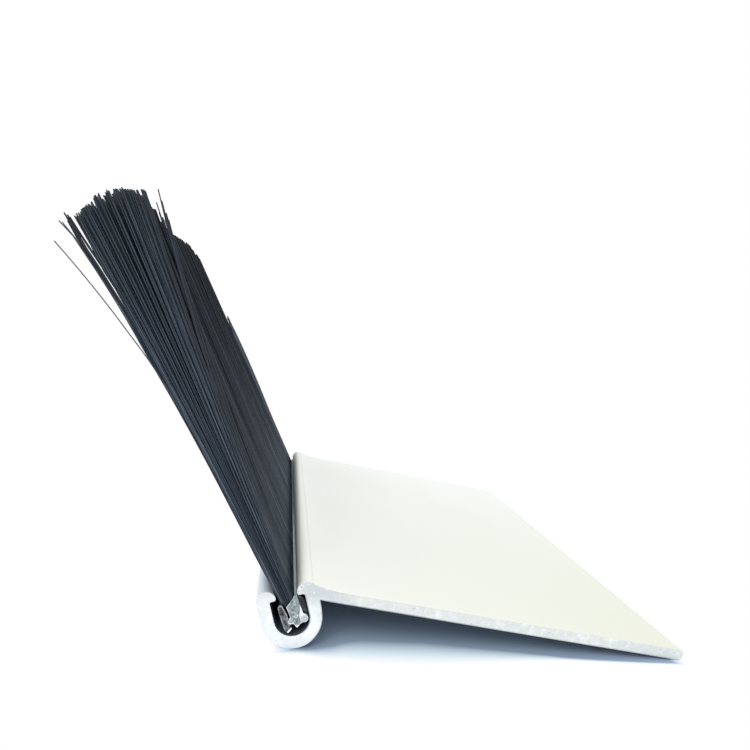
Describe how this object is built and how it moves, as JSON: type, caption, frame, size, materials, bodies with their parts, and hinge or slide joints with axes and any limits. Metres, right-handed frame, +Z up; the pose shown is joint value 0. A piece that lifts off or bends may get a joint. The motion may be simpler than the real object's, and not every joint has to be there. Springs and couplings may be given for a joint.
{
  "type": "brush seal strip",
  "caption": "Strip brush of black filaments held in the groove of an extruded aluminium carrier with a flat fixing flange.",
  "frame": {"origin": "on the floor the strip rests on, under the middle of its overall box", "axes": "+Y along the strip, +X towards the flange's tip, +Z up, as the strip lies on the channel's back and the flange's tip"},
  "size_m": [0.0868, 0.1, 0.0584],
  "materials": {
    "carrier": "pale, smooth, extruded",
    "brush_channel": "galvanised",
    "core_wire": "drawn wire",
    "bristles": "slate-black polymer filaments"
  },
  "bodies": {
    "root": {"carrier": "carrier", "brush_channel": "brush_channel", "core_wire": "core_wire", "bristles": "bristles"}
  },
  "joints": []
}
